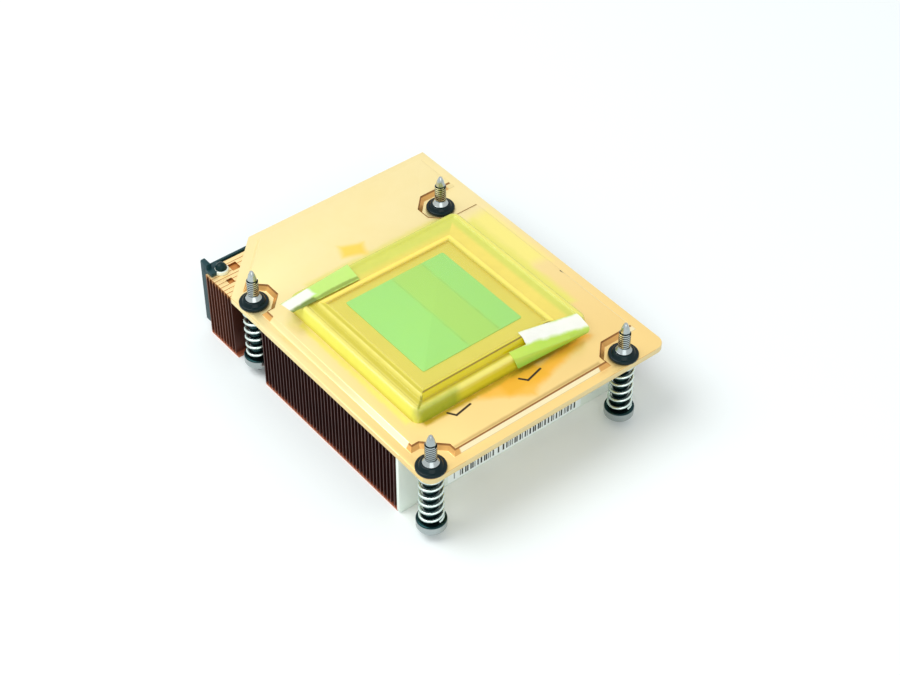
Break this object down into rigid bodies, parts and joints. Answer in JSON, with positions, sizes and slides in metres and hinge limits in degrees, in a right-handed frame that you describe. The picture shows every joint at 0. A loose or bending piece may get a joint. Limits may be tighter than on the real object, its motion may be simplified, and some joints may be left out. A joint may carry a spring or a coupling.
{
  "type": "passive server cpu heatsink",
  "caption": "Copper fin heatsink with a stepped vapour-chamber base, captive spring-loaded corner screws and a clear protective cover taped over the thermal pad.",
  "frame": {"origin": "centre of the copper contact face, which is the centre of the screw pattern", "axes": "+Z out of the contact face, towards the CPU; X across the fins, Y along the fins and the air flow"},
  "size_m": [0.1129, 0.0864, 0.0377],
  "materials": {
    "copper_plate": "bright lightly brushed copper",
    "copper_fins": "darker copper sheet",
    "thermal_grease": "matt grey-green grease",
    "cover_film": "clear yellow-green thermoformed plastic",
    "tape": "clear glossy adhesive tape",
    "end_plate": "plain sheet",
    "label": "white label with plain black bars",
    "black_plate": "black moulded plastic",
    "rivet": "black",
    "screw_steel": "nickel-plated steel",
    "ring_black": "gloss black",
    "spring_steel": "zinc-plated spring wire"
  },
  "bodies": {
    "heatsink": {"base_plate": "copper_plate", "contact_pedestal": "copper_plate", "thermal_pad": "thermal_grease", "protective_cover": "cover_film", "tape_strip_rear": "tape", "tape_strip_front": "tape", "long_fins_front": "copper_fins", "short_fins": "copper_fins", "long_fins_rear": "copper_fins", "front_end_plate": "end_plate", "barcode_label": "label", "rear_end_plate": "black_plate", "tab_rivet": "rivet", "compression_spring_1": "spring_steel", "compression_spring_2": "spring_steel", "compression_spring_3": "spring_steel", "compression_spring_4": "spring_steel"},
    "ring_1": {"retaining_ring_1": "ring_black"},
    "screw_1": {"captive_screw_1": "screw_steel"},
    "ring_2": {"retaining_ring_2": "ring_black"},
    "screw_2": {"captive_screw_2": "screw_steel"},
    "ring_3": {"retaining_ring_3": "ring_black"},
    "screw_3": {"captive_screw_3": "screw_steel"},
    "ring_4": {"retaining_ring_4": "ring_black"},
    "screw_4": {"captive_screw_4": "screw_steel"}
  },
  "joints": [
    {"name": "screw_1_press", "type": "slide", "parent": "heatsink", "child": "ring_1", "axis": [0, 0, 1], "range_m": [0, 0.008], "stiffness_N_per_m": 1500, "springref_m": -0.004, "deforming": ["compression_spring_1"]},
    {"name": "screw_1_turn", "type": "hinge", "parent": "ring_1", "child": "screw_1", "pos_m": [-0.0415, -0.0345, 0], "axis": [0, 0, 1], "continuous": true},
    {"name": "screw_2_press", "type": "slide", "parent": "heatsink", "child": "ring_2", "axis": [0, 0, 1], "range_m": [0, 0.008], "stiffness_N_per_m": 1500, "springref_m": -0.004, "deforming": ["compression_spring_2"]},
    {"name": "screw_2_turn", "type": "hinge", "parent": "ring_2", "child": "screw_2", "pos_m": [0.0415, -0.0345, 0], "axis": [0, 0, 1], "continuous": true},
    {"name": "screw_3_press", "type": "slide", "parent": "heatsink", "child": "ring_3", "axis": [0, 0, 1], "range_m": [0, 0.008], "stiffness_N_per_m": 1500, "springref_m": -0.004, "deforming": ["compression_spring_3"]},
    {"name": "screw_3_turn", "type": "hinge", "parent": "ring_3", "child": "screw_3", "pos_m": [0.0415, 0.0345, 0], "axis": [0, 0, 1], "continuous": true},
    {"name": "screw_4_press", "type": "slide", "parent": "heatsink", "child": "ring_4", "axis": [0, 0, 1], "range_m": [0, 0.008], "stiffness_N_per_m": 1500, "springref_m": -0.004, "deforming": ["compression_spring_4"]},
    {"name": "screw_4_turn", "type": "hinge", "parent": "ring_4", "child": "screw_4", "pos_m": [-0.0415, 0.0345, 0], "axis": [0, 0, 1], "continuous": true}
  ]
}
